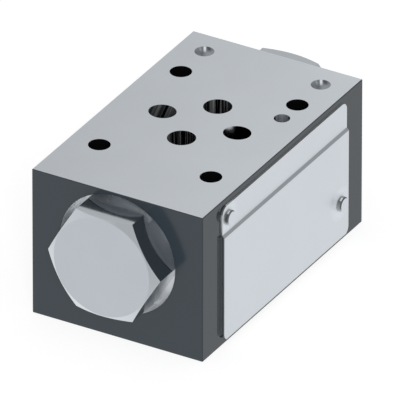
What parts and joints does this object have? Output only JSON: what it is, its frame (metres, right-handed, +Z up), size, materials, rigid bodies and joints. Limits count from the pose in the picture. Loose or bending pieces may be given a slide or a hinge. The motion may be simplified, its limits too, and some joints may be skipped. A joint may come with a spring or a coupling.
{
  "type": "hydraulic sandwich plate valve",
  "caption": "Block-shaped sandwich plate valve with hexagon end plugs, a port pattern through its ground faces and spring-closed, pilot-operated check poppets inside.",
  "frame": {"origin": "centre of the port pattern on the lower, subplate-side face", "axes": "+X along the main bore from the A end to the B end, +Z up out of the valve-side face, nameplate on the -Y side"},
  "size_m": [0.0926, 0.0497, 0.04],
  "materials": {
    "block": "dark phosphated sides, ground upper and lower faces",
    "plug": "bright zinc plated, turned end face and smooth flats",
    "bush": "hardened and ground",
    "poppet": "hardened and ground",
    "spool": "hardened and ground",
    "spring": "drawn spring wire",
    "seal": "matt elastomer",
    "plate": "matt anodised sheet, blank",
    "rivet": "smooth flat head with a bevelled edge"
  },
  "bodies": {
    "housing": {"valve_body": "block", "nameplate": "plate", "rivet_upper": "rivet", "rivet_lower": "rivet", "end_plug_a": "plug", "plug_seal_a": "seal", "seat_bush_a": "bush", "bush_seal_a": "seal", "spring_a": "spring", "end_plug_b": "plug", "plug_seal_b": "seal", "seat_bush_b": "bush", "bush_seal_b": "seal", "spring_b": "spring", "port_seal_a": "seal", "port_seal_b": "seal", "port_seal_p": "seal", "port_seal_t": "seal"},
    "poppet_a": {"poppet_a": "poppet"},
    "poppet_b": {"poppet_b": "poppet"},
    "control_spool": {"control_spool": "spool"}
  },
  "joints": [
    {"name": "poppet_a_slide", "type": "slide", "parent": "housing", "child": "poppet_a", "axis": [-1, 0, 0], "range_m": [0, 0.003], "stiffness_N_per_m": 7000, "springref_m": -0.0009, "deforming": ["spring_a"]},
    {"name": "poppet_b_slide", "type": "slide", "parent": "housing", "child": "poppet_b", "axis": [1, 0, 0], "range_m": [0, 0.003], "stiffness_N_per_m": 7000, "springref_m": -0.0009, "deforming": ["spring_b"]},
    {"name": "control_spool_slide", "type": "slide", "parent": "housing", "child": "control_spool", "axis": [1, 0, 0], "range_m": [-0.001, 0.001]}
  ]
}
